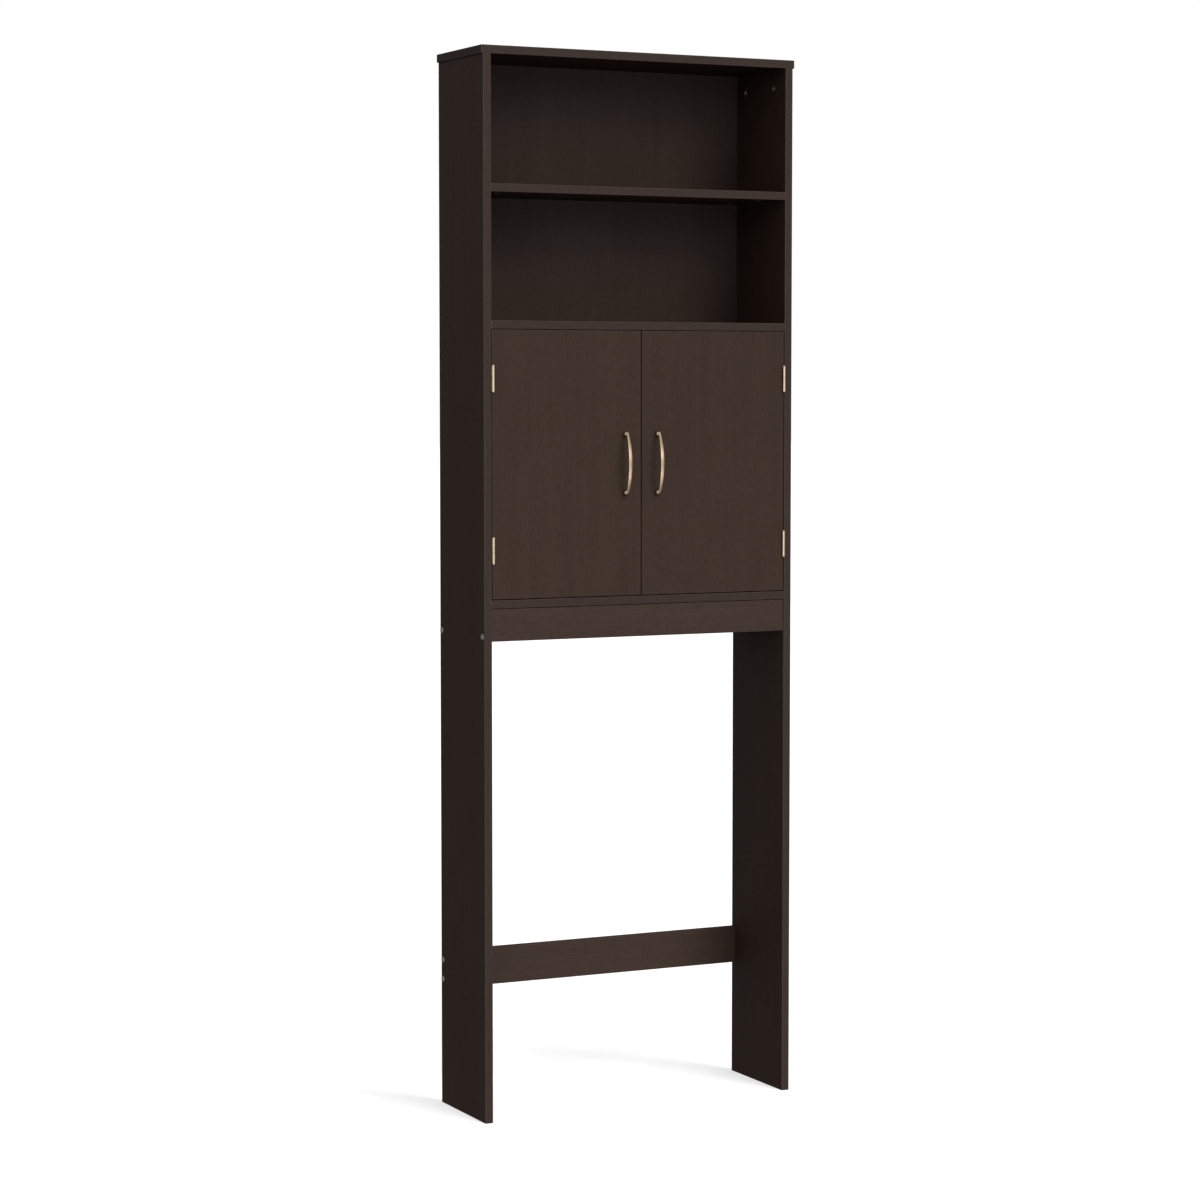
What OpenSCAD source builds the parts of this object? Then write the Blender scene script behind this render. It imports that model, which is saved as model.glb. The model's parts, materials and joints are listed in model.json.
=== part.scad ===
// Over the toilet storage cupboard: two tall side panels carry a top, two open shelves and a
// two-door cupboard, and stand astride a toilet. Flat-pack board construction with cam locks.
// Millimetres, +Z up, doors face -Y. The origin is on the floor, at the middle of the overall box.

/* [Carcass] */
// Overall height, floor to the top face
height = 1950; // [1850:10:2050]
// Width across the outer faces of the two side panels
width = 635; // [560:5:760]
// Depth of the side panels, front edge to back edge
depth = 200; // [190:5:260]
// Thickness of every main board
board = 15; // [15:1:18]
// How far the top panel stands out past each side panel
top_overhang = 3.5; // [0:0.5:10]
// Thickness of the back panel
back_t = 3; // [3:0.5:4]

/* [Levels] */
// Floor to the top face of the upper open shelf
upper_shelf_z = 1705; // [1650:5:1750]
// Floor to the top face of the middle shelf, the roof of the cupboard
middle_shelf_z = 1460; // [1440:5:1500]
// Floor to the top face of the loose shelf inside the cupboard
inner_shelf_z = 1208; // [1150:2:1250]
// Floor to the top face of the cupboard floor
bottom_panel_z = 956; // [920:1:960]
// Floor to the lower edge of the lower stretcher
stretcher_z = 218; // [100:2:300]

/* [Rails] */
// Height of the front and rear rails under the cupboard
rail_h = 59; // [50:1:70]
// Gap between the cupboard floor and the rails
rail_gap = 1; // [0.5:0.5:2]
// How far the front rail stands behind the front edges
rail_setback = 2; // [0:0.5:4]
// Height of the lower stretcher
stretcher_h = 70; // [60:2:90]

/* [Doors] */
// Gap beside each door, where the hinge leaves lie
side_gap = 1.8; // [1.8:0.1:3]
// Gap between the two doors
centre_gap = 2; // [1.6:0.1:4]
// Gap over the doors
door_top_gap = 1.2; // [1:0.1:3]
// Gap under the doors
door_bottom_gap = 1.6; // [1:0.1:3]

/* [Handles] */
// Distance between the two posts of a handle
handle_pitch = 108; // [96:2:128]
// How far a handle stands out from its door
handle_reach = 24; // [22:1:28]
// Distance from a door's free edge to the middle of its handle
handle_edge = 32; // [26:1:40]

/* [Hinges] */
// Height of a hinge leaf
leaf_h = 46; // [40:1:60]
// Thickness of a hinge leaf
leaf_t = 0.8; // [0.7:0.1:0.8]
// Outside radius of a hinge knuckle
knuckle_r = 2.5; // [2.4:0.1:2.7]
// Distance between the middles of the two hinges of a door
hinge_pitch = 310; // [280:2:340]

/* [Hidden] */
$fn = 48;
arc_fn = 360;    // facets of a full circle for the handles' long arcs
cut = 1;         // how far a cutting tool runs past a face
slack = 0.05;    // radial clearance of a fixed fastener in its hole

// Colours
espresso = [0.20, 0.15, 0.13];
espresso_back = [0.15, 0.11, 0.10];
brass = [0.78, 0.66, 0.45];
zinc = [0.70, 0.71, 0.72];
beech = [0.80, 0.66, 0.47];
dark_plastic = [0.18, 0.13, 0.11];

// Carcass planes: the handles stand in front of the boards, so the boards sit back of the middle
front_y = -(depth - handle_reach) / 2;
back_y = front_y + depth;
side_h = height - board;
inner_w = width - 2 * board;
inner_x = -inner_w / 2;      // inner face of the left side panel
outer_x = -width / 2;        // outer face of the left side panel

// Back panel and the grooves that hold it
back_inset = 8;
groove_depth = 5;
groove_slack = 0.1;
panel_bite = 4.5;            // how far the back panel reaches into each groove
back_rear_y = back_y - back_inset;
back_front_y = back_rear_y - back_t;

// Boards that stop at the back panel
shelf_depth = back_front_y - groove_slack - front_y;
shelf_ease = 1;              // side clearance of the loose shelf
inner_shelf_setback = 22;
rail_top_z = bottom_panel_z - board - rail_gap;
rail_z = rail_top_z - rail_h;
front_rail_y = front_y + rail_setback;
rear_rail_y = back_y - board;

// Cam joints: bolt line through the middle of the board, disc axis 34 mm from the board's end
cam_inset = 46;              // from the front and back edges
cam_reach = 34;
cam_r = 7.45;
cam_h = 12.3;
cam_hollow_r = 3.7;
cam_slot = [1.4, 9, 1.6];    // width, length and depth of the screwdriver cross
bolt_thread_r = 2.45;
bolt_thread_l = 10;
bolt_neck_r = 2;
bolt_collar_r = 3.4;
bolt_collar_h = 2;
bolt_head_r = 3.4;
bolt_head_l = 3;
bolt_bore_r = 4;
cam_ys = [front_y + cam_inset, back_y - cam_inset];
shelf_joint_zs = [upper_shelf_z, middle_shelf_z, bottom_panel_z];

// Dowels beside the cam joints
dowel_r = 2.95;
dowel_long = 20;             // part in the board's end
dowel_short = 10;            // part in the other board's face
dowel_inset = 22;            // from the front edge
dowel_ys = [front_y + dowel_inset, front_y + depth / 2];
rail_dowel_drop = 14;        // below the rail's top edge

// Screws through the side panels into the rails and the stretcher
rail_screw_rise = 9;         // above the rail's lower edge
rail_screw_r = 2.45;
rail_screw_l = 35;           // length in the rail's end
rail_head_r = 6;
rail_head_h = 1.4;
rail_head_taper = 1;         // how much smaller the head's outer face is in radius
hex_r = 2.3;
hex_depth = 0.9;
stretcher_screw_pitch = 36;

// Shelf pins in the side panels
pin_r = 2.45;
pin_in = 8;
pin_out = 7;
pin_step = 32;
pin_front_inset = 60;
pin_back_inset = 40;
pin_ys = [front_y + pin_front_inset, back_y - pin_back_inset];
pin_z = inner_shelf_z - board - pin_r;

// Doors
door_w = (inner_w - 2 * side_gap - centre_gap) / 2;
door_x = inner_x + side_gap; // hinge edge of the left door
door_z = bottom_panel_z + door_bottom_gap;
door_top_z = middle_shelf_z - board - door_top_gap;
door_h = door_top_z - door_z;
door_mid_z = door_z + door_h / 2;
door_rear_y = front_y + board;

// Hinges: the axis stands in front of the boards and a little inside the gap's middle
knuckle_clearance = 0.3;     // front plane to the knuckles
axis_inward = 1.5;           // from the gap's middle
axis_ahead = knuckle_r + knuckle_clearance;
axis_x = inner_x + side_gap / 2 + axis_inward;
axis_y = front_y - axis_ahead;
knuckles = 5;
knuckle_h = leaf_h / knuckles;
knuckle_play = 0.2;
hinge_pin_r = 1.25;
hinge_bore_r = 1.3;
pin_tip_h = 0.8;
tip_drop = knuckle_r / 2;    // how far a tip's dome is centred below its base
leaf_depth = 13.5;
leaf_start = 0.2;            // from the front plane back to the leaf's straight edge
web_start = 1.5;             // from the axis back to the web between a knuckle and its leaf
leaf_screw_pitch = 28;
leaf_screw_l = 12;
leaf_screw_r = 1.4;
leaf_screw_head_r = 2.6;
leaf_screw_head_h = 1.3;
leaf_screw_y = front_y + leaf_start + leaf_depth / 2;
hinge_zs = [door_mid_z + hinge_pitch / 2, door_mid_z - hinge_pitch / 2];

// Handles: two posts and a bowed bar, widest in the middle
handle_x = -centre_gap / 2 - handle_edge;
post_r = 3.5;
post_l = 11;                 // door face to the bar's line at a post
bar_t = 4.2;
bar_end_w = 5;
bar_mid_w = 7.6;
bow = handle_reach - bar_t / 2 - post_l;
bow_r = (pow(handle_pitch / 2, 2) + bow * bow) / (2 * bow);
bow_angle = 2 * asin(handle_pitch / 2 / bow_r);
flare = (bar_mid_w - bar_end_w) / 2;
outline_steps = 8;
handle_screw_r = 1.95;
handle_thread = 7;           // how far a screw reaches into its post
handle_head_r = 4;
handle_head_h = 2.2;
handle_head_taper = 0.8;
handle_cross = [1, 5, 2.4];
washer_gap = 0.05;

// Magnetic catches under the middle shelf and their strike plates
catch_size = [40, 15, 13];
catch_from_centre = 40;
magnet_size = [20, 8, 6];
strike_size = [26, 1, 11];
strike_play = 0.3;
catch_y = door_rear_y + strike_size[1] + strike_play;
catch_z = middle_shelf_z - board - catch_size[2];
catch_screw_pitch = 31;
small_screw_r = 1.4;
small_head_r = 2.8;
small_head_h = 1.4;
cross_w = 0.6;               // slots in a countersunk head
cross_h = 0.8;
catch_screw_l = 8;
strike_screw_l = 9;
strike_z = catch_z + (catch_size[2] - strike_size[2]) / 2;

// ---- Layout helpers: each is drawn for the left side and mirrored to the right ----

module both_sides() {
    children();
    mirror([1, 0, 0]) children();
}

// Places children on the left side panel's top end, +Z down into the panel, +X to the inside
module at_top_joints(ys) {
    for (y = ys)
        translate([outer_x + board / 2, y, side_h]) rotate([180, 0, 0]) children();
}

// Places children where a board whose top face is at z meets the left side panel,
// +Z into the board's end and +X down
module at_shelf_joints(z, ys) {
    for (y = ys)
        translate([inner_x, y, z - board / 2]) rotate([0, 90, 0]) children();
}

// Places children at a point (y, z) of the left side panel's inner face, +Z towards the right
module at_side_face(y, z) {
    translate([inner_x, y, z]) rotate([0, 90, 0]) children();
}

module at_rail_screws() {
    for (y = [front_rail_y + board / 2, rear_rail_y + board / 2])
        at_side_face(y, rail_z + rail_screw_rise) children();
}

module at_rail_dowels() {
    for (y = [front_rail_y + board / 2, rear_rail_y + board / 2])
        at_side_face(y, rail_top_z - rail_dowel_drop) children();
}

module at_stretcher_screws() {
    for (side = [-1, 1])
        at_side_face(rear_rail_y + board / 2,
                     stretcher_z + stretcher_h / 2 + side * stretcher_screw_pitch / 2)
            children();
}

module at_hinges() {
    for (z = hinge_zs) translate([0, 0, z]) children();
}

// The two screws of one leaf, at heights about the hinge's middle
module at_leaf_screws() {
    for (side = [-1, 1]) translate([0, 0, side * leaf_screw_pitch / 2]) children();
}

// ---- Fasteners and the holes they need ----

// A cam disc in a board that starts at z = 0, with its open face at x = board / 2
module cam_lock() {
    difference() {
        translate([board / 2 - cam_h, 0, cam_reach]) rotate([0, 90, 0])
            cylinder(h = cam_h, r = cam_r);
        translate([0, 0, cam_reach - cam_r - cut])
            cylinder(h = cam_r + cut + bolt_head_l, r = cam_hollow_r);
        for (turn = [0, 90])
            translate([board / 2, 0, cam_reach]) rotate([turn, 0, 0])
                cube([2 * cam_slot[2], cam_slot[1], cam_slot[0]], center = true);
    }
}

module cam_bolt() {
    head_z = cam_reach - bolt_head_l / 2;
    translate([0, 0, -bolt_thread_l]) cylinder(h = bolt_thread_l, r = bolt_thread_r);
    cylinder(h = bolt_collar_h, r = bolt_collar_r);
    cylinder(h = cam_reach, r = bolt_neck_r);
    translate([0, 0, head_z]) cylinder(h = bolt_head_l, r = bolt_head_r);
}

module cam_joint_cut() {
    translate([board / 2 - cam_h - slack, 0, cam_reach]) rotate([0, 90, 0])
        cylinder(h = cam_h + cut, r = cam_r + slack);
    cylinder(h = cam_reach, r = bolt_bore_r);
    translate([0, 0, -bolt_thread_l - slack])
        cylinder(h = bolt_thread_l + cut, r = bolt_thread_r + slack);
}

module wood_dowel() {
    translate([0, 0, -dowel_short]) cylinder(h = dowel_short + dowel_long, r = dowel_r);
}

module wood_dowel_cut() {
    translate([0, 0, -dowel_short - slack])
        cylinder(h = dowel_short + dowel_long + 2 * slack, r = dowel_r + slack);
}

// A screw with a broad flat head on the outer face of the side panel
module rail_screw() {
    difference() {
        union() {
            translate([0, 0, -board]) cylinder(h = board + rail_screw_l, r = rail_screw_r);
            translate([0, 0, -board - rail_head_h / 2])
                cylinder(h = rail_head_h / 2, r = rail_head_r);
            translate([0, 0, -board - rail_head_h])
                cylinder(h = rail_head_h / 2, r1 = rail_head_r - rail_head_taper, r2 = rail_head_r);
        }
        translate([0, 0, -board - rail_head_h - cut])
            cylinder(h = hex_depth + cut, r = hex_r, $fn = 6);
    }
}

module rail_screw_cut() {
    translate([0, 0, -board - cut])
        cylinder(h = board + cut + rail_screw_l + slack, r = rail_screw_r + slack);
}

module shelf_pin() {
    translate([0, 0, -pin_in]) cylinder(h = pin_in + pin_out, r = pin_r);
}

// Three heights of pin holes, the loose shelf resting on the middle one
module shelf_pin_cuts() {
    for (y = pin_ys, step = [-1, 0, 1])
        at_side_face(y, pin_z + step * pin_step)
            translate([0, 0, -pin_in - slack]) cylinder(h = pin_in + cut, r = pin_r + slack);
}

// A countersunk screw that starts at z = 0 and points along +Z
module countersunk_screw(head_r, head_h, shank_r, length) {
    difference() {
        union() {
            cylinder(h = head_h, r1 = head_r, r2 = shank_r);
            cylinder(h = length, r = shank_r);
        }
        for (turn = [0, 90])
            rotate([0, 0, turn]) cube([cross_w, head_r, cross_h], center = true);
    }
}

module countersunk_cut(head_r, head_h, shank_r, length) {
    translate([0, 0, -cut]) cylinder(h = length + cut + slack, r = shank_r + slack);
    cylinder(h = head_h + slack, r1 = head_r + slack, r2 = shank_r + slack);
    translate([0, 0, -cut]) cylinder(h = cut + slack, r = head_r + slack);
}

module leaf_screw() {
    countersunk_screw(leaf_screw_head_r, leaf_screw_head_h, leaf_screw_r, leaf_screw_l);
}

module leaf_screw_cut() {
    countersunk_cut(leaf_screw_head_r, leaf_screw_head_h, leaf_screw_r, leaf_screw_l);
}

// Leaf screws of the left side: into the side panel, and into the door's edge
module at_frame_leaf_screws() {
    at_hinges() at_leaf_screws()
        translate([inner_x + leaf_t, leaf_screw_y, 0]) rotate([0, -90, 0]) children();
}

module at_door_leaf_screws() {
    at_hinges() at_leaf_screws()
        translate([door_x - leaf_t, leaf_screw_y, 0]) rotate([0, 90, 0]) children();
}

module at_handle_posts() {
    for (side = [-1, 1])
        translate([handle_x, front_y, door_mid_z + side * handle_pitch / 2]) children();
}

module at_catch_screws() {
    for (side = [-1, 1])
        translate([-catch_from_centre + side * catch_screw_pitch / 2,
                   catch_y + catch_size[1] / 2, catch_z]) children();
}

module at_strike_screw() {
    translate([-catch_from_centre, door_rear_y + strike_size[1], strike_z + strike_size[2] / 2])
        rotate([90, 0, 0]) children();
}

// ---- Boards ----

module left_side() {
    color(espresso) difference() {
        translate([outer_x, front_y, 0]) cube([board, depth, side_h]);
        translate([inner_x - groove_depth, back_front_y - groove_slack,
                   bottom_panel_z - groove_depth])
            cube([groove_depth + cut, back_t + 2 * groove_slack, side_h]);
        at_top_joints(cam_ys) cam_joint_cut();
        at_top_joints(dowel_ys) wood_dowel_cut();
        for (z = shelf_joint_zs) {
            at_shelf_joints(z, cam_ys) cam_joint_cut();
            at_shelf_joints(z, dowel_ys) wood_dowel_cut();
        }
        at_rail_screws() rail_screw_cut();
        at_rail_dowels() wood_dowel_cut();
        at_stretcher_screws() rail_screw_cut();
        shelf_pin_cuts();
        at_frame_leaf_screws() leaf_screw_cut();
    }
}

module left_side_panel() {
    left_side();
}

module right_side_panel() {
    mirror([1, 0, 0]) left_side();
}

module top_panel() {
    color(espresso) difference() {
        translate([outer_x - top_overhang, front_y, side_h])
            cube([width + 2 * top_overhang, depth, board]);
        translate([inner_x - groove_depth, back_front_y - groove_slack, side_h - cut])
            cube([inner_w + 2 * groove_depth, back_t + 2 * groove_slack, groove_depth + cut]);
        both_sides() {
            at_top_joints(cam_ys) cam_joint_cut();
            at_top_joints(dowel_ys) wood_dowel_cut();
        }
    }
}

// A board between the side panels, with its cam and dowel holes, down from height z
module fixed_board(z, board_depth) {
    difference() {
        translate([inner_x, front_y, z - board]) cube([inner_w, board_depth, board]);
        both_sides() {
            at_shelf_joints(z, cam_ys) cam_joint_cut();
            at_shelf_joints(z, dowel_ys) wood_dowel_cut();
        }
    }
}

module upper_shelf() {
    color(espresso) fixed_board(upper_shelf_z, shelf_depth);
}

module middle_shelf() {
    color(espresso) difference() {
        fixed_board(middle_shelf_z, shelf_depth);
        both_sides() at_catch_screws() small_screw_cut(catch_size[2] + catch_screw_l);
    }
}

module bottom_panel() {
    color(espresso) difference() {
        fixed_board(bottom_panel_z, depth);
        translate([inner_x - cut, back_front_y - groove_slack, bottom_panel_z - groove_depth])
            cube([inner_w + 2 * cut, back_t + 2 * groove_slack, groove_depth + cut]);
    }
}

module inner_shelf() {
    color(espresso)
        translate([inner_x + shelf_ease, front_y + inner_shelf_setback, inner_shelf_z - board])
            cube([inner_w - 2 * shelf_ease, shelf_depth - inner_shelf_setback - shelf_ease, board]);
}

module back_panel() {
    color(espresso_back)
        translate([inner_x - panel_bite, back_front_y, bottom_panel_z - panel_bite])
            cube([inner_w + 2 * panel_bite, back_t, side_h - bottom_panel_z + 2 * panel_bite]);
}

module front_rail() {
    color(espresso) difference() {
        translate([inner_x, front_rail_y, rail_z]) cube([inner_w, board, rail_h]);
        both_sides() {
            at_rail_screws() rail_screw_cut();
            at_rail_dowels() wood_dowel_cut();
        }
    }
}

module rear_rail() {
    color(espresso) difference() {
        translate([inner_x, rear_rail_y, rail_z]) cube([inner_w, board, rail_h]);
        both_sides() {
            at_rail_screws() rail_screw_cut();
            at_rail_dowels() wood_dowel_cut();
        }
    }
}

module lower_stretcher() {
    color(espresso) difference() {
        translate([inner_x, rear_rail_y, stretcher_z]) cube([inner_w, board, stretcher_h]);
        both_sides() at_stretcher_screws() rail_screw_cut();
    }
}

// ---- Groups of identical fasteners ----

module cam_locks() {
    color(zinc) both_sides() {
        at_top_joints(cam_ys) cam_lock();
        for (z = shelf_joint_zs) at_shelf_joints(z, cam_ys) cam_lock();
    }
}

module cam_bolts() {
    color(zinc) both_sides() {
        at_top_joints(cam_ys) cam_bolt();
        for (z = shelf_joint_zs) at_shelf_joints(z, cam_ys) cam_bolt();
    }
}

module wood_dowels() {
    color(beech) both_sides() {
        at_top_joints(dowel_ys) wood_dowel();
        for (z = shelf_joint_zs) at_shelf_joints(z, dowel_ys) wood_dowel();
        at_rail_dowels() wood_dowel();
    }
}

module rail_screws() {
    color(zinc) both_sides() {
        at_rail_screws() rail_screw();
        at_stretcher_screws() rail_screw();
    }
}

module shelf_pins() {
    color(zinc) both_sides() for (y = pin_ys) at_side_face(y, pin_z) shelf_pin();
}

// ---- Doors, handles and their screws ----

module left_door_board() {
    color(espresso) difference() {
        translate([door_x, front_y, door_z]) cube([door_w, board, door_h]);
        at_door_leaf_screws() leaf_screw_cut();
        at_handle_posts() translate([0, board + cut, 0]) rotate([90, 0, 0])
            cylinder(h = board + 2 * cut, r = handle_screw_r + slack);
        at_strike_screw() small_screw_cut(strike_size[1] + strike_screw_l);
    }
}

module left_door() {
    left_door_board();
}

module right_door() {
    mirror([1, 0, 0]) left_door_board();
}

// The bar's bowed sweep, about an axis behind it, before its sides are narrowed
module bar_sweep() {
    translate([0, -(handle_reach - bar_t / 2) + bow_r, 0]) rotate([0, 90, 0])
        rotate([0, 0, -90 - bow_angle / 2])
            rotate_extrude(angle = bow_angle, $fn = arc_fn)
                translate([bow_r, 0]) square([bar_t, bar_mid_w], center = true);
}

// Half the bar's width at a height above its middle
function bar_half_w(z) = bar_mid_w / 2 - flare * pow(z / (handle_pitch / 2), 2);

// The bar's outline from the front, widest in the middle
module bar_outline() {
    reach = handle_pitch / 2 + post_r;
    heights = [for (step = [-outline_steps:outline_steps]) reach * step / outline_steps];
    right = [for (z = heights) [bar_half_w(z), z]];
    left = [for (z = heights) [-bar_half_w(-z), -z]];
    rotate([90, 0, 0]) linear_extrude(height = handle_reach + cut) polygon(concat(right, left));
}

module left_handle_body() {
    color(brass) difference() {
        union() {
            translate([handle_x, front_y, door_mid_z]) intersection() {
                bar_sweep();
                bar_outline();
            }
            at_handle_posts() rotate([90, 0, 0]) {
                cylinder(h = post_l, r = post_r);
                translate([0, 0, post_l]) sphere(r = post_r);
            }
        }
        at_handle_posts() translate([0, cut, 0]) rotate([90, 0, 0])
            cylinder(h = handle_thread + cut + slack, r = handle_screw_r + slack);
    }
}

module left_handle() {
    left_handle_body();
}

module right_handle() {
    mirror([1, 0, 0]) left_handle_body();
}

// Pan-head screws from inside the door into the posts
module left_handle_screw_pair() {
    color(zinc) at_handle_posts() translate([0, board + washer_gap, 0]) rotate([90, 0, 0])
        difference() {
            union() {
                cylinder(h = board + washer_gap + handle_thread, r = handle_screw_r);
                translate([0, 0, -handle_head_h])
                    cylinder(h = handle_head_h, r1 = handle_head_r - handle_head_taper,
                             r2 = handle_head_r);
            }
            for (turn = [0, 90]) translate([0, 0, -handle_head_h]) rotate([0, 0, turn])
                cube(handle_cross, center = true);
        }
}

module left_handle_screws() {
    left_handle_screw_pair();
}

module right_handle_screws() {
    mirror([1, 0, 0]) left_handle_screw_pair();
}

// ---- Hinges, built about their axis, with z = 0 at mid-height, for the left side ----

// One knuckle ring without its bore, counted from the bottom
module knuckle(index) {
    translate([0, 0, -leaf_h / 2 + index * knuckle_h + knuckle_play / 2])
        cylinder(h = knuckle_h - knuckle_play, r = knuckle_r);
}

// A leaf whose plate starts at plate_x, with the knuckles in the list
module leaf(plate_x, indexes) {
    plate_y = axis_ahead + leaf_start;
    difference() {
        union() {
            translate([plate_x, plate_y, -leaf_h / 2]) cube([leaf_t, leaf_depth, leaf_h]);
            for (index = indexes) {
                knuckle(index);
                translate([plate_x, web_start,
                           -leaf_h / 2 + index * knuckle_h + knuckle_play / 2])
                    cube([leaf_t, plate_y - web_start + slack, knuckle_h - knuckle_play]);
            }
        }
        translate([0, 0, -leaf_h]) cylinder(h = 2 * leaf_h, r = hinge_bore_r);
    }
}

module frame_leaf(z) {
    color(brass) difference() {
        translate([axis_x, axis_y, z]) leaf(inner_x - axis_x, [0, 2, 4]);
        at_frame_leaf_screws() leaf_screw_cut();
    }
}

module door_leaf(z) {
    color(brass) difference() {
        translate([axis_x, axis_y, z]) leaf(door_x - leaf_t - axis_x, [1, 3]);
        at_door_leaf_screws() leaf_screw_cut();
    }
}

// The pin and its two domed tips
module hinge_pin(z) {
    color(brass) translate([axis_x, axis_y, z]) {
        cylinder(h = leaf_h + 2 * slack, r = hinge_pin_r, center = true);
        for (end = [0, 1]) mirror([0, 0, end]) translate([0, 0, leaf_h / 2 + slack]) {
            cylinder(h = pin_tip_h, r = knuckle_r);
            translate([0, 0, pin_tip_h]) intersection() {
                translate([0, 0, -tip_drop]) sphere(r = norm([knuckle_r, tip_drop]));
                cylinder(h = knuckle_r, r = knuckle_r);
            }
        }
    }
}

module left_upper_frame_leaf() {
    frame_leaf(hinge_zs[0]);
}

module left_lower_frame_leaf() {
    frame_leaf(hinge_zs[1]);
}

module right_upper_frame_leaf() {
    mirror([1, 0, 0]) frame_leaf(hinge_zs[0]);
}

module right_lower_frame_leaf() {
    mirror([1, 0, 0]) frame_leaf(hinge_zs[1]);
}

module left_upper_door_leaf() {
    door_leaf(hinge_zs[0]);
}

module left_lower_door_leaf() {
    door_leaf(hinge_zs[1]);
}

module right_upper_door_leaf() {
    mirror([1, 0, 0]) door_leaf(hinge_zs[0]);
}

module right_lower_door_leaf() {
    mirror([1, 0, 0]) door_leaf(hinge_zs[1]);
}

module left_upper_hinge_pin() {
    hinge_pin(hinge_zs[0]);
}

module left_lower_hinge_pin() {
    hinge_pin(hinge_zs[1]);
}

module right_upper_hinge_pin() {
    mirror([1, 0, 0]) hinge_pin(hinge_zs[0]);
}

module right_lower_hinge_pin() {
    mirror([1, 0, 0]) hinge_pin(hinge_zs[1]);
}

module frame_leaf_screws() {
    color(brass) both_sides() at_frame_leaf_screws() leaf_screw();
}

module left_door_leaf_screws() {
    color(brass) at_door_leaf_screws() leaf_screw();
}

module right_door_leaf_screws() {
    color(brass) mirror([1, 0, 0]) at_door_leaf_screws() leaf_screw();
}

// ---- Catches ----

module small_screw(length) {
    countersunk_screw(small_head_r, small_head_h, small_screw_r, length);
}

module small_screw_cut(length) {
    countersunk_cut(small_head_r, small_head_h, small_screw_r, length);
}

module magnet_block(extra) {
    translate([-catch_from_centre - magnet_size[0] / 2 - extra, catch_y - extra,
               catch_z + (catch_size[2] - magnet_size[2]) / 2 - extra])
        cube([magnet_size[0] + 2 * extra, magnet_size[1] + 2 * extra,
              magnet_size[2] + 2 * extra]);
}

module left_catch_body() {
    color(dark_plastic) difference() {
        translate([-catch_from_centre - catch_size[0] / 2, catch_y, catch_z])
            cube(catch_size);
        magnet_block(slack);
        at_catch_screws() small_screw_cut(catch_size[2] + catch_screw_l);
    }
}

module left_catch_housing() {
    left_catch_body();
}

module right_catch_housing() {
    mirror([1, 0, 0]) left_catch_body();
}

module catch_magnets() {
    color(zinc) both_sides() magnet_block(0);
}

module catch_screws() {
    color(zinc) both_sides() at_catch_screws() small_screw(catch_size[2] + catch_screw_l);
}

module strike_plate() {
    color(zinc) difference() {
        translate([-catch_from_centre - strike_size[0] / 2, door_rear_y, strike_z])
            cube(strike_size);
        at_strike_screw() small_screw_cut(strike_size[1] + strike_screw_l);
    }
}

module left_strike_plate() {
    strike_plate();
}

module right_strike_plate() {
    mirror([1, 0, 0]) strike_plate();
}

module left_strike_screw() {
    color(zinc) at_strike_screw() small_screw(strike_size[1] + strike_screw_l);
}

module right_strike_screw() {
    mirror([1, 0, 0]) left_strike_screw();
}

top_panel();
left_side_panel();
right_side_panel();
upper_shelf();
middle_shelf();
inner_shelf();
bottom_panel();
front_rail();
rear_rail();
lower_stretcher();
back_panel();
cam_locks();
cam_bolts();
wood_dowels();
rail_screws();
shelf_pins();
left_door();
right_door();
left_handle();
right_handle();
left_handle_screws();
right_handle_screws();
left_upper_frame_leaf();
left_lower_frame_leaf();
right_upper_frame_leaf();
right_lower_frame_leaf();
left_upper_door_leaf();
left_lower_door_leaf();
right_upper_door_leaf();
right_lower_door_leaf();
left_upper_hinge_pin();
left_lower_hinge_pin();
right_upper_hinge_pin();
right_lower_hinge_pin();
frame_leaf_screws();
left_door_leaf_screws();
right_door_leaf_screws();
left_catch_housing();
right_catch_housing();
catch_magnets();
catch_screws();
left_strike_plate();
right_strike_plate();
left_strike_screw();
right_strike_screw();
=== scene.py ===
import json
import math

import bmesh
import bpy
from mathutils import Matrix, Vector


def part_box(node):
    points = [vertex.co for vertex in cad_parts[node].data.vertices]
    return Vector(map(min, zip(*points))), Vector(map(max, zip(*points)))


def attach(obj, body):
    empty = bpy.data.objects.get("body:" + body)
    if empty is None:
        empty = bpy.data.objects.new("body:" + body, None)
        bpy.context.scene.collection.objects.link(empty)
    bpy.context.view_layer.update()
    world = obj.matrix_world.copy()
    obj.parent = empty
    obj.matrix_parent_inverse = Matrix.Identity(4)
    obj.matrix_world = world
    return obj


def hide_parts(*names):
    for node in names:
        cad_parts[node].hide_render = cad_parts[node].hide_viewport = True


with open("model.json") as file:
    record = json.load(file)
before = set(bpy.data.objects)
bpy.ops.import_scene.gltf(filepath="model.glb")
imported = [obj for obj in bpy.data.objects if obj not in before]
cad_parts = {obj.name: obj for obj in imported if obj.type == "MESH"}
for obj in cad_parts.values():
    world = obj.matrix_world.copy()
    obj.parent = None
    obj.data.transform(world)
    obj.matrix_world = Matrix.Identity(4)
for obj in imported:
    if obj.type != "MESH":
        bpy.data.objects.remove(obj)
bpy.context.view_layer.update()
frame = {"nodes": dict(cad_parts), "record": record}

# Looks for the over the toilet storage cupboard: every board and fitting of the frame gets eased
# edges and a procedural finish, the two bow handles are modelled in full, and a plain pale studio
# is set round them. Metres, +Z up, the doors face -Y.

NODES = frame["nodes"]
SLOTS = {part["node"]: part["material_slot"] for part in frame["record"]["subparts"]}
WHITE = (1, 1, 1, 1)

# ---- Shader helpers ----

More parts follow.
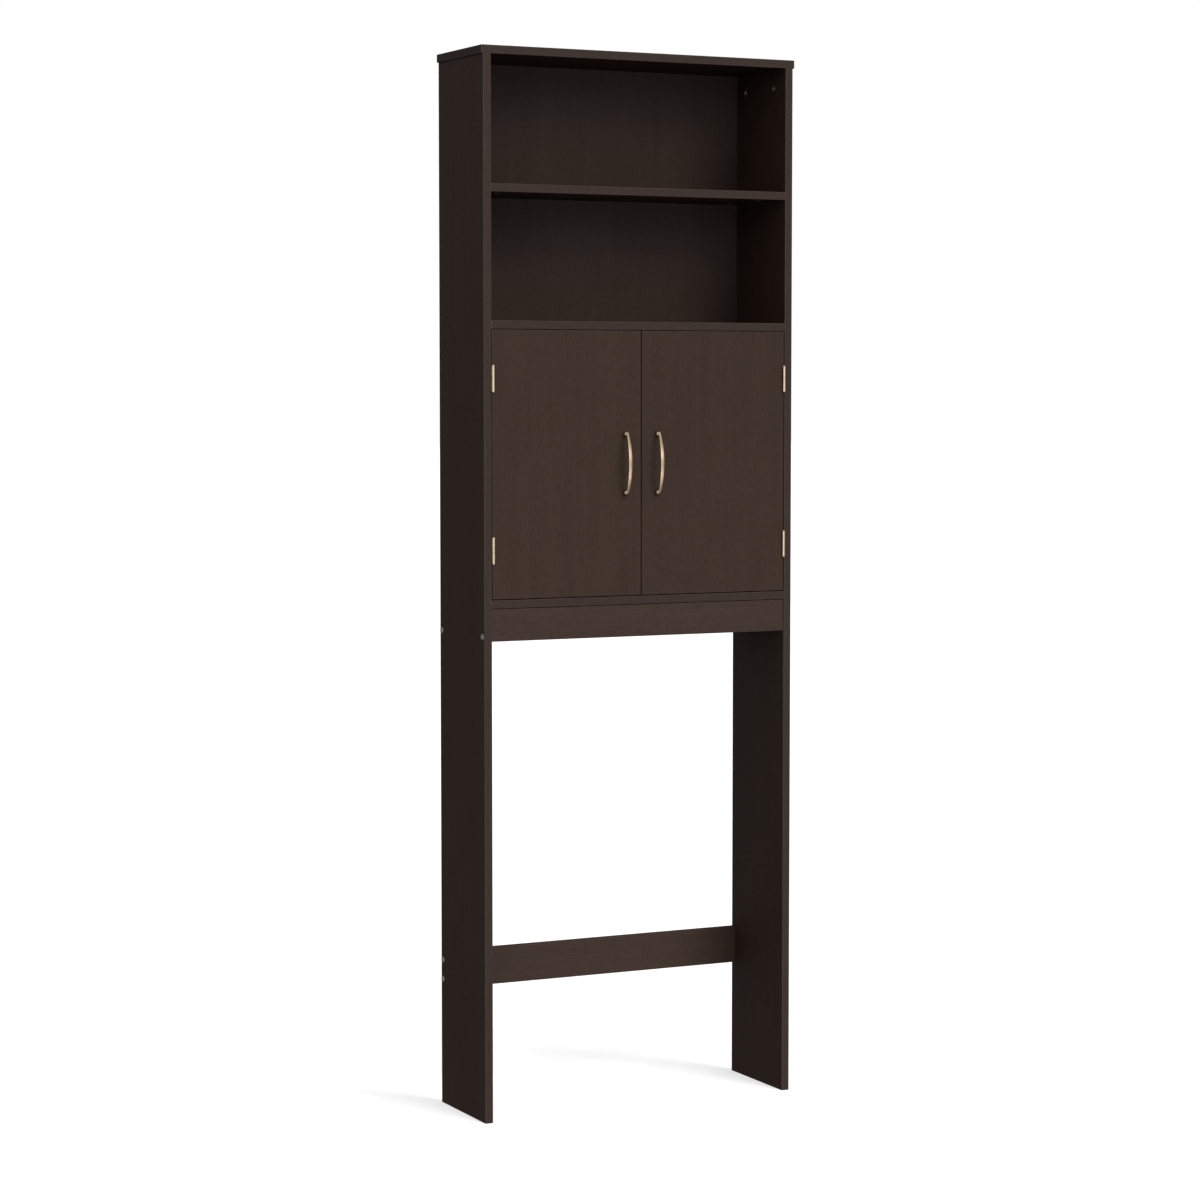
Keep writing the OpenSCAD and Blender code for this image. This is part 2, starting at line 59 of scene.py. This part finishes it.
NOISE_SPAN = (0.3, 0.7)      # where nearly all values of a noise pattern lie
FULL_SPAN = (0.0, 1.0)
FACING_SPAN = (0.3, 0.7)     # a normal's part on an axis: up to the first, its face lies along the
                             # axis, and from the second on, square to it
MIX_COLOURS = (6, 7)         # inputs of a Mix node for its two colours
MIX_RESULT = 2               # and its output for their mix


def feed(tree, socket, value):
    """Links a socket to another one, or sets its value."""
    if isinstance(value, bpy.types.NodeSocket):
        tree.links.new(value, socket)
    else:
        socket.default_value = value


def add_node(tree, kind, inputs=(), **settings):
    """Adds a node with its settings made and its inputs linked or set."""
    made = tree.nodes.new(kind)
    for name, value in settings.items():
        setattr(made, name, value)
    for key, value in dict(inputs).items():
        feed(tree, made.inputs[key], value)
    return made


def shade(colour, factor):
    return tuple(channel * factor for channel in colour)


class Finish:
    """A new material with one Principled shader, and short calls that add nodes in front of it."""

    def __init__(self, name, **values):
        self.material = bpy.data.materials.new(name)
        self.material.use_nodes = True
        self.tree = self.material.node_tree
        self.shader = self.tree.nodes["Principled BSDF"]
        self.place = self.node("ShaderNodeTexCoord").outputs["Object"]
        for socket, value in values.items():
            self.set(socket, value)

    def set(self, socket, value):
        """Sets or links a shader input, named with underscores for its spaces."""
        feed(self.tree, self.shader.inputs[socket.replace("_", " ")], value)

    def node(self, kind, inputs=(), **settings):
        return add_node(self.tree, kind, inputs, **settings)

    def stretch(self, axis, across, along):
        """The object's coordinates, scaled so that a pattern is drawn out along one axis."""
        scale = [across] * 3
        scale["XYZ".index(axis)] = along
        inputs = {"Vector": self.place, "Scale": scale}
        return self.node("ShaderNodeMapping", inputs).outputs["Vector"]

    def noise(self, vector, scale=1.0, detail=2.0, roughness=0.5, distortion=0.0):
        inputs = {"Vector": vector, "Scale": scale, "Detail": detail,
                  "Roughness": roughness, "Distortion": distortion}
        return self.node("ShaderNodeTexNoise", inputs).outputs["Fac"]

    def remap(self, value, low, high, span=NOISE_SPAN):
        """Low where the value is at the start of its span, high at the end, and level past both."""
        inputs = {"Value": value, "From Min": span[0], "From Max": span[1],
                  "To Min": low, "To Max": high}
        return self.node("ShaderNodeMapRange", inputs).outputs["Result"]

    def sum(self, *values):
        total = values[0]
        for value in values[1:]:
            total = self.node("ShaderNodeMath", {0: total, 1: value}, operation="ADD").outputs[0]
        return total

    def blend(self, factor, first, second):
        """One colour turning into another as the factor goes from 0 to 1."""
        mix = self.node("ShaderNodeMix", {"Factor": factor}, data_type="RGBA")
        for place, colour in zip(MIX_COLOURS, (first, second)):
            is_link = isinstance(colour, bpy.types.NodeSocket)
            feed(self.tree, mix.inputs[place], colour if is_link else (*colour, 1))
        return mix.outputs[MIX_RESULT]

    def vary(self, factor, colour, start, end):
        """A colour that goes from start times the given one to end times it."""
        return self.blend(factor, shade(colour, start), shade(colour, end))

    def facing(self, axis):
        """1 on faces square to an axis of the object, and 0 on faces along it."""
        normal = self.node("ShaderNodeTexCoord").outputs["Normal"]
        part = self.node("ShaderNodeSeparateXYZ", {0: normal}).outputs[axis]
        size = self.node("ShaderNodeMath", {0: part}, operation="ABSOLUTE").outputs[0]
        return self.remap(size, 0.0, 1.0, FACING_SPAN)

    def bump(self, height, depth, strength, over=None):
        """The normal of a surface that rises by depth where the height is 1."""
        inputs = {"Height": height, "Distance": depth, "Strength": strength}
        if over is not None:
            inputs["Normal"] = over
        return self.node("ShaderNodeBump", inputs).outputs["Normal"]


# ---- Finishes ----

ESPRESSO = (0.0244, 0.0131, 0.0087)
ESPRESSO_BAND = (0.0236, 0.0147, 0.0113)
ESPRESSO_BACK = (0.0200, 0.0115, 0.0084)
# lighter and greyer than the other boards: a painted reflection of light from below, on the boards
# that stand on edge along X, such as the rails and the stretcher
ESPRESSO_RAIL_PAINTED_REFLECTION = (0.0290, 0.0166, 0.0120)
HANDLE_BRASS = (0.630, 0.466, 0.318)
HINGE_BRASS = (0.799, 0.631, 0.448)
ZINC = (0.53, 0.50, 0.46)
BEECH = (0.60, 0.44, 0.28)
DARK_PLASTIC = (0.030, 0.021, 0.018)

BOARD_ROUGHNESS = 0.55
BACK_ROUGHNESS = 0.62
FIBRE_SPAN = (0.34, 0.66)
PORE_SPAN = (0.54, 0.66)     # only the peaks of the pattern are pores
PORE_SHARE = 0.75            # how far a pore goes towards its own tone
PORE_TONE = 0.45
PORE_DULLING = 0.12          # roughness that a pore adds
PORE_DEPTH = 0.00006
PEEL_DEPTH = 0.00003


def board_finish(name, colour, grain, roughness, thickness=None):
    """Satin laminate: a faint wood figure, fine pores, and slow changes of tone and gloss.

    With a thickness axis, the faces along it are covered by a band of a slightly greyer tone."""
    finish = Finish(name, Specular_IOR_Level=0.2)
    figure = finish.noise(finish.stretch(grain, across=38, along=1.5),
                          detail=5, roughness=0.6, distortion=0.5)
    fibre = finish.noise(finish.stretch(grain, across=620, along=12), detail=4, roughness=0.65)
    pores = finish.noise(finish.stretch(grain, across=1900, along=105), detail=2)
    pores = finish.remap(pores, 0.0, PORE_SHARE, PORE_SPAN)
    cloud = finish.noise(finish.place, scale=3.2, detail=3)
    smudge = finish.noise(finish.place, scale=9.0, detail=4, roughness=0.65)
    peel = finish.noise(finish.place, scale=1300, detail=1)
    tone = finish.sum(finish.remap(figure, 0.0, 0.40),
                      finish.remap(fibre, 0.0, 0.40, FIBRE_SPAN),
                      finish.remap(cloud, 0.0, 0.20))
    face = finish.vary(tone, colour, start=0.86, end=1.28)
    if thickness is not None:
        band = finish.vary(tone, ESPRESSO_BAND, start=0.90, end=1.22)
        face = finish.blend(finish.facing(thickness), band, face)
    finish.set("Base_Color", finish.blend(pores, face, shade(colour, PORE_TONE)))
    gloss = finish.remap(smudge, roughness - 0.05, roughness + 0.05)
    dulling = finish.remap(pores, 0.0, PORE_DULLING, FULL_SPAN)
    finish.set("Roughness", finish.sum(gloss, dulling))
    grooves = finish.bump(finish.remap(pores, 1.0, 0.0, FULL_SPAN), PORE_DEPTH, strength=0.7)
    finish.set("Normal", finish.bump(peel, PEEL_DEPTH, strength=0.4, over=grooves))
    return finish.material


def arris_finish(name, colour):
    """The eased edge of a board, lighter than the faces all along as a painted highlight, and
    lighter and smoother still where it is rubbed, in places.
    """
    finish = Finish(name, Specular_IOR_Level=0.5)
    rub_and_highlight = finish.noise(finish.place, scale=26, detail=5, roughness=0.7)
    nick = finish.noise(finish.place, scale=420, detail=2)
    wear_and_highlight = finish.sum(finish.remap(rub_and_highlight, 0.0, 0.8, span=(0.42, 0.68)),
                      finish.remap(nick, 0.0, 0.2, span=(0.6, 0.75)))
    # painted highlight and wear: the edge's colour runs from 1.15 to 1.9 times the board's, never
    # below it
    finish.set("Base_Color", finish.vary(wear_and_highlight, colour, start=1.15, end=1.9))
    finish.set("Roughness", finish.remap(rub_and_highlight, 0.40, 0.28))
    finish.set("Normal", finish.bump(nick, depth=0.00006, strength=0.5))
    return finish.material


def metal_finish(name, colour, brushing, roughness, tarnish):
    """Plated metal: fine brushed lines along an axis, and patches that are duller and darker."""
    finish = Finish(name, Metallic=1.0)
    brushed = finish.noise(finish.stretch(brushing, across=5200, along=150),
                           detail=3, roughness=0.6)
    patch = finish.noise(finish.place, scale=160, detail=4, roughness=0.6)
    speck = finish.noise(finish.place, scale=2300, detail=2)
    dull = finish.sum(finish.remap(patch, 0.0, 0.75, span=(0.38, 0.68)),
                      finish.remap(brushed, 0.0, 0.25))
    finish.set("Base_Color", finish.vary(dull, colour, start=1.06, end=tarnish))
    finish.set("Roughness", finish.sum(finish.remap(patch, roughness - 0.05, roughness + 0.08),
                                       finish.remap(brushed, -0.04, 0.04)))
    lines = finish.bump(brushed, depth=0.00002, strength=0.5)
    finish.set("Normal", finish.bump(speck, depth=0.00001, strength=0.4, over=lines))
    return finish.material


def beech_finish():
    """Raw turned beech: a pale ground with short darker flecks along the dowel."""
    finish = Finish("beech", Roughness=0.7, Specular_IOR_Level=0.3)
    fibre = finish.noise(finish.stretch("X", across=900, along=60), detail=4, roughness=0.6)
    fleck = finish.noise(finish.stretch("X", across=2600, along=420), detail=2)
    tone = finish.sum(finish.remap(fibre, 0.0, 0.7),
                      finish.remap(fleck, 0.0, 0.3, span=(0.55, 0.75)))
    finish.set("Base_Color", finish.vary(tone, BEECH, start=1.08, end=0.68))
    finish.set("Normal", finish.bump(fibre, depth=0.00008, strength=0.6))
    return finish.material


def plastic_finish():
    """Moulded plastic with a fine spark-eroded grain."""
    finish = Finish("dark_plastic", Specular_IOR_Level=0.4)
    grain = finish.noise(finish.place, scale=3000, detail=2, roughness=0.6)
    flow = finish.noise(finish.place, scale=60, detail=3)
    finish.set("Base_Color", finish.vary(flow, DARK_PLASTIC, start=0.85, end=1.2))
    finish.set("Roughness", finish.remap(grain, 0.45, 0.62))
    finish.set("Normal", finish.bump(grain, depth=0.00005, strength=0.5))
    return finish.material


ARRIS = arris_finish("espresso_arris", ESPRESSO)
FINISHES = {
    "espresso_back": board_finish("espresso_back", ESPRESSO_BACK, "Z", BACK_ROUGHNESS),
    "satin_brass": metal_finish("hinge_brass", HINGE_BRASS, "Z", roughness=0.38, tarnish=0.80),
    "zinc_steel": metal_finish("zinc_steel", ZINC, "X", roughness=0.36, tarnish=0.70),
    "beech": beech_finish(),
    "dark_plastic": plastic_finish(),
}
HANDLE_FINISH = metal_finish("satin_brass", HANDLE_BRASS, "Z", roughness=0.25, tarnish=0.80)
LAMINATES = {}

# ---- The frame's own nodes ----

BOARD_EDGE = 0.0008      # how far a main board's edges are eased
SMALL_EDGE = 0.00015     # and a fitting's
WELD_GAP = 1e-6
FLAT_ANGLE = math.radians(0.5)
EDGE_ANGLE = math.radians(40)
EDGE_STEPS = 3
ARRIS_LENGTH = 0.010     # a board's shorter edges belong to its bores, which stay crisp
LARGE_FACE_WEIGHT = 80   # how strongly the large flats rule the shading


def make_arris_picker():
    """Nodes that mark a board's long, sharp, outward edges in an edge attribute named arris."""
    picker = bpy.data.node_groups.new("arris_picker", "GeometryNodeTree")
    picker.interface.new_socket("Geometry", in_out="INPUT", socket_type="NodeSocketGeometry")
    picker.interface.new_socket("Geometry", in_out="OUTPUT", socket_type="NodeSocketGeometry")
    board = add_node(picker, "NodeGroupInput").outputs[0]
    ends = add_node(picker, "GeometryNodeInputMeshEdgeVertices").outputs
    length = add_node(picker, "ShaderNodeVectorMath",
                      {0: ends["Position 1"], 1: ends["Position 2"]},
                      operation="DISTANCE").outputs["Value"]
    turn = add_node(picker, "GeometryNodeInputMeshEdgeAngle").outputs["Signed Angle"]
    is_long = add_node(picker, "ShaderNodeMath", {0: length, 1: ARRIS_LENGTH},
                       operation="GREATER_THAN").outputs[0]
    is_sharp = add_node(picker, "ShaderNodeMath", {0: turn, 1: EDGE_ANGLE},
                        operation="GREATER_THAN").outputs[0]
    is_arris = add_node(picker, "ShaderNodeMath", {0: is_long, 1: is_sharp},
                        operation="MULTIPLY").outputs[0]
    marked = add_node(picker, "GeometryNodeStoreNamedAttribute",
                      {"Geometry": board, "Name": "arris", "Value": is_arris},
                      data_type="FLOAT", domain="EDGE").outputs[0]
    add_node(picker, "NodeGroupOutput", {"Geometry": marked})
    return picker


ARRIS_PICKER = make_arris_picker()


def join_flats(piece):
    """Joins the node's split faces, and the triangles of each flat."""
    weld = piece.modifiers.new("weld", "WELD")
    weld.merge_threshold = WELD_GAP
    flats = piece.modifiers.new("flats", "DECIMATE")
    flats.decimate_type = "DISSOLVE"
    flats.angle_limit = FLAT_ANGLE


def round_edges(piece, width, **settings):
    """Rounds the edges that the settings pick, and keeps the flats' shading flat."""
    edge = piece.modifiers.new("edge", "BEVEL")
    edge.width = width
    edge.segments = EDGE_STEPS
    for name, value in settings.items():
        setattr(edge, name, value)
    normals = piece.modifiers.new("normals", "WEIGHTED_NORMAL")
    normals.weight = LARGE_FACE_WEIGHT
    normals.keep_sharp = False


def paint(piece, *materials):
    piece.data.materials.clear()
    for material in materials:
        piece.data.materials.append(material)


def laminate_for(node):
    """The laminate with its grain along the board, made once for each way that a board lies."""
    low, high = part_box(node)
    spans = {axis: high[place] - low[place] for place, axis in enumerate("XYZ")}
    length = max(spans, key=spans.get)
    thickness = min(spans, key=spans.get)
    name = f"espresso_along_{length}_across_{thickness}".lower()
    if name not in LAMINATES:
        is_rail = (length, thickness) == ("X", "Y")
        # boards on edge along X get a painted reflection: a lighter, greyer colour
        colour = ESPRESSO_RAIL_PAINTED_REFLECTION if is_rail else ESPRESSO
        LAMINATES[name] = board_finish(name, colour, length, BOARD_ROUGHNESS, thickness)
    return LAMINATES[name]


def dress_board(node):
    piece = NODES[node]
    paint(piece, laminate_for(node), ARRIS)
    join_flats(piece)
    piece.modifiers.new("arrises", "NODES").node_group = ARRIS_PICKER
    round_edges(piece, BOARD_EDGE, limit_method="WEIGHT", edge_weight="arris", material=1)


def dress_fitting(node):
    """Dresses anything but a main board. The thin back panel is one too: grooves hide its edges."""
    piece = NODES[node]
    paint(piece, FINISHES[SLOTS[node]])
    join_flats(piece)
    round_edges(piece, SMALL_EDGE, limit_method="ANGLE", angle_limit=EDGE_ANGLE)


for node, slot in SLOTS.items():
    if slot == "espresso_board":
        dress_board(node)
    else:
        dress_fitting(node)

# ---- Bow handles ----

NODE_POST_RADIUS = 0.0035    # of the frame's plain handles, whose post centres are kept
POST_REACH = 0.0108          # door face to the bar's line at a post
BALL_RADIUS = 0.0053         # the round foot of a post
BALL_OUT = 0.0049            # and how far its centre stands off the door
COLLAR_RADIUS = 0.0034       # the seat under the ball
NECK_RADIUS = 0.0023         # between the ball and the bar
POST_RINGS = 40
BAR_MID = (0.0039, 0.0022)   # half the bar's width and thickness at its middle
BAR_END = (0.0025, 0.0019)   # and over a post
TAPER_POWER = 1.3            # how evenly the bar narrows from its middle
END_ROUND = 0.0042           # how far the bar's end runs past a post
END_CLOSE = 0.05             # what is left of the section at the very tip
BAR_RINGS = 96
RING_STEPS = 32
BAR_POWER = 2.5              # squareness of the bar's section: 2 is an ellipse
CIRCLE_POWER = 2
VOXEL = 0.0004
SMOOTH_SHARE = 0.5
SMOOTH_PASSES = 8


def new_piece(name, mesh):
    """Makes an object of a bmesh, and puts it in the scene."""
    data = bpy.data.meshes.new(name)
    mesh.to_mesh(data)
    mesh.free()
    piece = bpy.data.objects.new(name, data)
    bpy.context.scene.collection.objects.link(piece)
    return piece


def ring(points, centre, first, second, power):
    """Adds one closed ring round centre, on two half-axes."""
    made = []
    for step in range(RING_STEPS):
        turn = math.tau * step / RING_STEPS
        side, front = math.cos(turn), math.sin(turn)
        reach = (abs(side) ** power + abs(front) ** power) ** (-1 / power)
        made.append(points.new(centre + (first * side + second * front) * reach))
    return made


def skin(mesh, rings):
    """Closes a row of rings into one solid, with flat caps."""
    for lower, upper in zip(rings, rings[1:]):
        for step in range(RING_STEPS):
            after = (step + 1) % RING_STEPS
            mesh.faces.new((lower[step], lower[after], upper[after], upper[step]))
    mesh.faces.new(list(reversed(rings[0])))
    mesh.faces.new(rings[-1])


def add_bar(mesh, x, door_y, mid_z, pitch, reach):
    """The bow: an arc from post to post, widest and thickest in the middle, with round ends."""
    half = pitch / 2
    bow = reach - BAR_MID[1] - POST_REACH
    rings = []
    for step in range(BAR_RINGS + 1):
        along = (half + END_ROUND) * math.sin(math.pi * (step / BAR_RINGS - 0.5))
        taper = (abs(along) / half) ** TAPER_POWER
        past = max(0.0, (abs(along) - half) / END_ROUND)
        close = max(END_CLOSE, math.sqrt(max(0.0, 1 - past * past)))
        width, thick = (mid + (end - mid) * taper for mid, end in zip(BAR_MID, BAR_END))
        slope = 2 * bow * along / half**2
        outward = Vector((0, -1, -slope)).normalized()
        line_y = door_y - reach + BAR_MID[1] + bow * (along / half) ** 2
        centre = Vector((x, line_y, mid_z + along))
        sideways = Vector((width * close, 0, 0))
        rings.append(ring(mesh.verts, centre, sideways, outward * thick * close, BAR_POWER))
    skin(mesh, rings)


def post_radius(out):
    """Radius of a post at a distance from the door: a seat, then a ball, then a neck."""
    ball = math.sqrt(max(0.0, BALL_RADIUS**2 - (out - BALL_OUT) ** 2))
    return max(ball, COLLAR_RADIUS if out < BALL_OUT else NECK_RADIUS)


def add_post(mesh, x, door_y, z):
    """One post, as rings round a line from the door to the bar."""
    rings = []
    for step in range(POST_RINGS + 1):
        out = POST_REACH * step / POST_RINGS
        radius = post_radius(out)
        centre = Vector((x, door_y - out, z))
        sideways = Vector((radius, 0, 0))
        upward = Vector((0, 0, radius))
        rings.append(ring(mesh.verts, centre, sideways, upward, CIRCLE_POWER))
    skin(mesh, rings)


def cast(piece):
    """Fuses a piece's solids into one smooth casting."""
    fuse = piece.modifiers.new("fuse", "REMESH")
    fuse.mode = "VOXEL"
    fuse.voxel_size = VOXEL
    fuse.use_smooth_shade = True
    polish = piece.modifiers.new("polish", "SMOOTH")
    polish.factor = SMOOTH_SHARE
    polish.iterations = SMOOTH_PASSES
    fused = piece.evaluated_get(bpy.context.evaluated_depsgraph_get())
    data = bpy.data.meshes.new_from_object(fused)
    piece.modifiers.clear()
    piece.data = data


def make_handle(name, node, body):
    """One full handle, in the place of the frame's plain one."""
    low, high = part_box(node)
    x = (low.x + high.x) / 2
    mid_z = (low.z + high.z) / 2
    pitch = high.z - low.z - 2 * NODE_POST_RADIUS
    mesh = bmesh.new()
    add_bar(mesh, x, high.y, mid_z, pitch, reach=high.y - low.y)
    for side in (-1, 1):
        add_post(mesh, x, high.y, mid_z + side * pitch / 2)
    bmesh.ops.recalc_face_normals(mesh, faces=mesh.faces)
    piece = new_piece(name, mesh)
    cast(piece)
    paint(piece, HANDLE_FINISH)
    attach(piece, body)
    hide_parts(node)


make_handle("left_bow_handle", "left_handle", "left_door_swing")
make_handle("right_bow_handle", "right_handle", "right_door_swing")

# ---- Studio ----

LAMP_SPREAD = math.radians(32)
KEY_STRENGTH = 3.3
KEY_FROM = Vector((0.31, -0.82, 0.62))
BACK_STRENGTH = 3.2          # lights the back and the right side, which the key leaves dark
BACK_FROM = Vector((0.40, 0.85, 0.35))
FILL_FROM = Vector((-0.45, -0.87, 0.20))
FILL_STRENGTH = 1.74
FILL_POWER = 1.7             # how fast the fill falls off towards the back
FILL_FLOOR = 0.05            # and what is left of it there
FILL_BANDS = (               # height on a unit sphere, and the fill there
    (-1.0, 0.38), (-0.54, 0.34), (-0.36, 1.34), (-0.10, 0.45), (0.06, 0.50), (0.21, 1.38),
    (0.31, 1.10), (0.43, 0.32), (1.0, 1.0))
FLOOR_COLOUR = (0.55, 0.55, 0.55, 1)
FLOOR_GLOW = 0.58            # with the lamps' light, it brings the floor up to the white backdrop
FLOOR_HALF = 60.0

CAMERA_AT = Vector((-2.6551, -5.2789, 1.3416))
CAMERA_YAW = math.radians(26.341)
CAMERA_DOWN = math.radians(3.862)
CAMERA_LENS = 94.892


def make_world():
    """A white backdrop to the eye, and a soft fill on the object: brightest from the front left,
    in one band under the horizon and one over it, and straight overhead."""
    world = bpy.data.worlds.new("studio")
    world.use_nodes = True
    bpy.context.scene.world = world
    tree = world.node_tree
    tree.nodes.clear()

    def node(kind, inputs=(), **settings):
        return add_node(tree, kind, inputs, **settings)

    direction = node("ShaderNodeTexCoord").outputs["Generated"]
    frontness = node("ShaderNodeVectorMath", {0: direction, 1: FILL_FROM.normalized()},
                     operation="DOT_PRODUCT").outputs["Value"]
    frontness = node("ShaderNodeMapRange", {"Value": frontness, "From Min": -1.0}).outputs[0]
    frontness = node("ShaderNodeMath", {0: frontness, 1: FILL_POWER}, operation="POWER").outputs[0]
    strength = node("ShaderNodeMath", {0: frontness, 1: FILL_STRENGTH, 2: FILL_FLOOR},
                    operation="MULTIPLY_ADD").outputs[0]
    height = node("ShaderNodeSeparateXYZ", {0: direction}).outputs["Z"]
    height = node("ShaderNodeMapRange", {"Value": height, "From Min": -1.0}).outputs[0]
    bands = node("ShaderNodeValToRGB", {"Fac": height})
    stops = bands.color_ramp.elements
    stops.remove(stops[1])   # of the two that a new ramp has, the first stays as the lowest
    for high, _ in FILL_BANDS[1:]:
        stops.new((high + 1) / 2)
    for stop, (_, level) in zip(stops, FILL_BANDS):
        stop.color = (level, level, level, 1)
    fill = node("ShaderNodeBackground", {"Color": bands.outputs["Color"], "Strength": strength})
    backdrop = node("ShaderNodeBackground", {"Color": WHITE})
    seen = node("ShaderNodeLightPath").outputs["Is Camera Ray"]
    mix = node("ShaderNodeMixShader", {0: seen, 1: fill.outputs[0], 2: backdrop.outputs[0]})
    node("ShaderNodeOutputWorld", {"Surface": mix.outputs[0]})


def make_lamp(name, strength, place):
    """A soft distant lamp that lights surfaces but leaves no highlight on them."""
    light = bpy.data.lights.new(name, "SUN")
    light.energy = strength
    light.angle = LAMP_SPREAD
    lamp = bpy.data.objects.new(name, light)
    bpy.context.scene.collection.objects.link(lamp)
    lamp.visible_glossy = False
    lamp.rotation_euler = place.to_track_quat("Z", "Y").to_euler()
    return lamp


def keep_off(lamp, piece):
    """Lets a lamp light everything but one piece."""
    unlit = bpy.data.collections.new(lamp.name + "_unlit")
    unlit.objects.link(piece)
    lamp.light_linking.receiver_collection = unlit
    unlit.collection_objects[0].light_linking.link_state = "EXCLUDE"


def make_floor():
    """A pale floor that glows a little, and that neither lights nor mirrors in the object."""
    mesh = bmesh.new()
    bmesh.ops.create_grid(mesh, x_segments=1, y_segments=1, size=FLOOR_HALF)
    floor = new_piece("floor", mesh)
    finish = Finish("pale_floor", Roughness=0.8, Specular_IOR_Level=0.2, Base_Color=FLOOR_COLOUR,
                    Emission_Color=WHITE, Emission_Strength=FLOOR_GLOW)
    paint(floor, finish.material)
    floor.visible_glossy = False
    floor.visible_diffuse = False
    return floor


def make_camera():
    lens = bpy.data.cameras.new("camera")
    lens.lens = CAMERA_LENS
    camera = bpy.data.objects.new("camera", lens)
    bpy.context.scene.collection.objects.link(camera)
    camera.location = CAMERA_AT
    camera.rotation_euler = (math.pi / 2 - CAMERA_DOWN, 0, -CAMERA_YAW)
    bpy.context.scene.camera = camera


make_world()
make_lamp("key", KEY_STRENGTH, KEY_FROM)
keep_off(make_lamp("back", BACK_STRENGTH, BACK_FROM), make_floor())
make_camera()
bpy.context.scene.view_settings.view_transform = "Standard"
